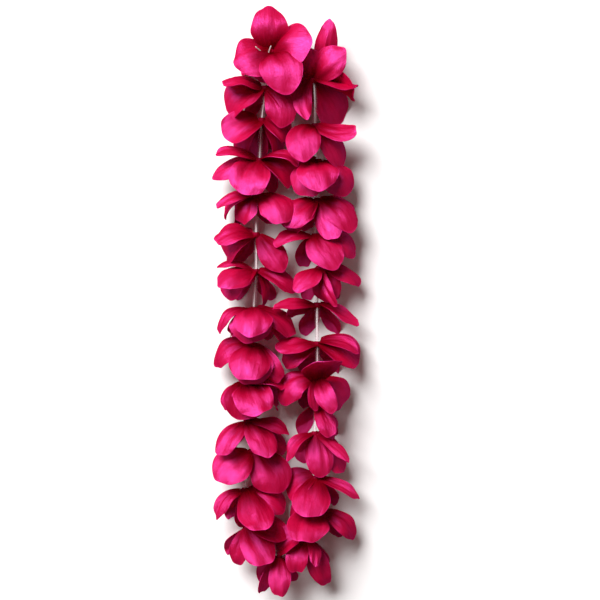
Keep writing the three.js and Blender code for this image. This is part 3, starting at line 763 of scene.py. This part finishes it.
def petal_cloth():
    """Hot pink satin: deeper at the root, in part its own colour and in part painted shade, streaks and
    fine threads that fan out of it, a painted highlight along the cut rim, and each petal a little deeper
    or paler than the next by its tone."""
    f = Finish("petal_cloth")
    across, along, _ = f.split(f.node("TexCoord", output="UV"))
    cloud = f.cloud(CLOTH_CLOUD, 3)

    def grain(wide, long, stray, detail, roughness):
        way = f.node("CombineXYZ", None, [across * wide, along * long, cloud * stray])
        return f.node("TexNoise", None, {
            "Vector": way, "Scale": 1, "Detail": detail, "Roughness": roughness})

    streaks, ribs = grain(*STREAKS), grain(*RIBS)
    threads = f.node("TexVoronoi", {"distance": "CHEBYCHEV"}, {
        "Vector": f.node("CombineXYZ", None, [across * WEAVE[0], along * WEAVE[1], 0]),
        "Scale": 1, "Randomness": WEAVE_UNEVEN})
    tone = f.node("Attribute", {"attribute_name": "tone"}, output=2)

    # painted shade at the petal's root, in part the cloth's own deeper colour; the same mask also dulls
    # the gloss there
    root = 1 - f.ease(along, *ROOT_DYE_AND_SHADE)
    # a painted highlight along the cut rim, kept off the root
    rim_highlight = f.ease(abs(across * 2 - 1), *RIM_HIGHLIGHT_SIDE) + f.ease(along, *RIM_HIGHLIGHT_TIP)
    deep = (root * ROOT_DYE_AND_SHADE_DEEP + (streaks - MIDDLE) * STREAK_DEEP + (ribs - MIDDLE) * RIB_DEEP
            + (cloud - MIDDLE) * CLOUD_DEEP + tone * TONE_DEEP)
    colour = f.blend(f.blend(PETAL_PINK, PETAL_DEEP, deep), PETAL_RIM_HIGHLIGHT, rim_highlight * (1 - root) * RIM_HIGHLIGHT_STRENGTH)
    height = (streaks * STREAK_HEIGHT + ribs * RIB_HEIGHT + cloud * CLOUD_HEIGHT
              + threads * WEAVE_HEIGHT)
    bump = f.node("Bump", None, {"Strength": 0.8, "Distance": CLOTH_RELIEF, "Height": height})

    cloth = f.node("BsdfPrincipled", None, {
        "Base Color": colour, "Roughness": CLOTH_ROUGHNESS - (ribs - MIDDLE) * RIB_ROUGHNESS,
        "Normal": bump, "Specular IOR Level": 0.0})
    glow = f.node("BsdfTranslucent", None, {"Color": PETAL_GLOW, "Normal": bump})
    gloss = f.node("BsdfAnisotropic", None, {
        "Color": PETAL_GLOSS, "Roughness": SATIN_ROUGHNESS, "Normal": bump})
    soft = f.node("MixShader", None, [SHOWS_THROUGH, cloth, glow])
    shine = (SHINE - (streaks - MIDDLE) * STREAK_SHINE - tone * TONE_SHINE) * (1 - root * ROOT_DULL)
    return f.surface(f.node("MixShader", None, [shine, soft, gloss]))


TUBE_MILKY = (0.92, 0.80, 0.85, 1)
TUBE_CLEAR = (1.0, 0.985, 0.99, 1)
TUBE_CLOUD = 180
TUBE_ROUGHNESS, HAZE_ROUGHNESS = 0.06, 0.12
OUTLINE_MILK, HAZE_MILK = 0.18, 0.04  # how milky the tube is along its outline and in its haze


def clear_tube():
    """Thin clear plastic: see-through face on, milky along its outline, with a sharp gloss."""
    f = Finish("clear_tube")
    outline = f.node("LayerWeight", None, {"Blend": 0.35}, 1)
    haze = f.cloud(TUBE_CLOUD, 3)
    plastic = f.node("BsdfPrincipled", None, {
        "Base Color": TUBE_MILKY, "Roughness": haze * HAZE_ROUGHNESS + TUBE_ROUGHNESS,
        "Specular IOR Level": 0.9, "Coat Weight": 1.0, "Coat Roughness": 0.04})
    clear = f.node("BsdfTransparent", None, {"Color": TUBE_CLEAR})
    milk = outline * OUTLINE_MILK + haze * HAZE_MILK
    return f.surface(f.node("MixShader", None, [milk, clear, plastic]))


COTTON_WHITE = (0.99, 0.98, 0.97, 1)
COTTON_SHADE = (0.90, 0.88, 0.87, 1)
COTTON_FUZZ = 900
COTTON_RELIEF = 0.2 * MM
COTTON_ROUGHNESS, FUZZ_ROUGHNESS = 0.65, 0.2


def white_thread():
    """White cotton with a fine fuzz."""
    f = Finish("white_thread")
    fuzz = f.cloud(COTTON_FUZZ, 4)
    bump = f.node("Bump", None, {"Strength": 0.5, "Distance": COTTON_RELIEF, "Height": fuzz})
    colour = f.blend(COTTON_WHITE, COTTON_SHADE, fuzz)
    cotton = f.node("BsdfPrincipled", None, {
        "Base Color": colour, "Roughness": fuzz * FUZZ_ROUGHNESS + COTTON_ROUGHNESS, "Normal": bump,
        "Sheen Weight": 0.3})
    return f.surface(cotton)


PAPER_WHITE = (0.98, 0.98, 0.98, 1)
PAPER_SHADE = (0.97, 0.97, 0.97, 1)
PAPER_CLOUD = 3


def pale_floor():
    """Matt white paper, all but even."""
    f = Finish("floor")
    colour = f.blend(PAPER_WHITE, PAPER_SHADE, f.cloud(PAPER_CLOUD))
    paper = f.node("BsdfPrincipled", None, {
        "Base Color": colour, "Roughness": 0.9, "Specular IOR Level": 0.1})
    return f.surface(paper)


# Studio

FLOOR_SIZE = 6
LAMP_PLACE = (-1.5, 2.1, 2.9)
LAMP_SIZE = 2.6
LAMP_POWER = 265
AIR_COLOUR = (1, 0.72, 0.69, 1)
AIR_STRENGTH = 0.16
CAMERA_PLACE = (13.5 * MM, 0.45 * MM)
CAMERA_HEIGHT = 1.8  # over the thread
CAMERA_SEES = 0.54  # width of the view at the thread's height
SENSOR_WIDTH = 36


def ground():
    """A plain pale floor, which the petals' gloss doesn't mirror."""
    bpy.ops.object.select_all(action="DESELECT")
    bpy.ops.mesh.primitive_plane_add(size=FLOOR_SIZE)
    floor = bpy.context.object
    floor.name = "floor"
    floor.data.materials.append(pale_floor())
    floor.visible_glossy = False


def light():
    """One wide soft lamp at the upper left, and a faint warm light from all round."""
    lamp = bpy.data.lights.new("key", "AREA")
    lamp.shape, lamp.size, lamp.energy = "DISK", LAMP_SIZE, LAMP_POWER
    holder = bpy.data.objects.new("key", lamp)
    holder.location = LAMP_PLACE
    holder.rotation_euler = (-Vector(LAMP_PLACE)).to_track_quat("-Z", "Y").to_euler()
    bpy.context.scene.collection.objects.link(holder)

    air = bpy.data.worlds.new("studio")
    bpy.context.scene.world = air
    air.use_nodes = True
    background = air.node_tree.nodes["Background"].inputs
    background["Color"].default_value = AIR_COLOUR
    background["Strength"].default_value = AIR_STRENGTH


def camera():
    """The camera, straight above a place just right of the lei's middle."""
    lens = bpy.data.cameras.new("camera")
    lens.sensor_width = SENSOR_WIDTH
    lens.lens = lens.sensor_width * CAMERA_HEIGHT / CAMERA_SEES
    stand = bpy.data.objects.new("camera", lens)
    stand.location = (*CAMERA_PLACE, THREAD_HEIGHT + CAMERA_HEIGHT)
    bpy.context.scene.collection.objects.link(stand)
    bpy.context.scene.camera = stand
    bpy.context.scene.view_settings.view_transform = "Standard"


# The lei


def lei():
    """Every bloom and tube in turn along the thread, and then the thread."""
    cloth, plastic, cotton = petal_cloth(), clear_tube(), white_thread()
    blank = petal_blank()
    stops = [(name, DISTANCES[i * SAMPLES], rows)
             for i, (name, _, _, rows) in enumerate(STRING) if name != BEND]
    for i, (name, distance, rows) in enumerate(stops):
        bloom(name, distance, rows, blank, cloth)
        if name not in BARE_AFTER:
            ahead = stops[i + 1][1] if i + 1 < len(stops) else ROUND
            start, end = distance + COLLAR_LENGTH / 2 + TUBE_GAP, ahead - COLLAR_LENGTH / 2 - TUBE_GAP
            spacer(name, start, end, plastic)
    thread(cotton)
    alone(blank)
    bpy.ops.object.delete()


ground()
light()
camera()
lei()
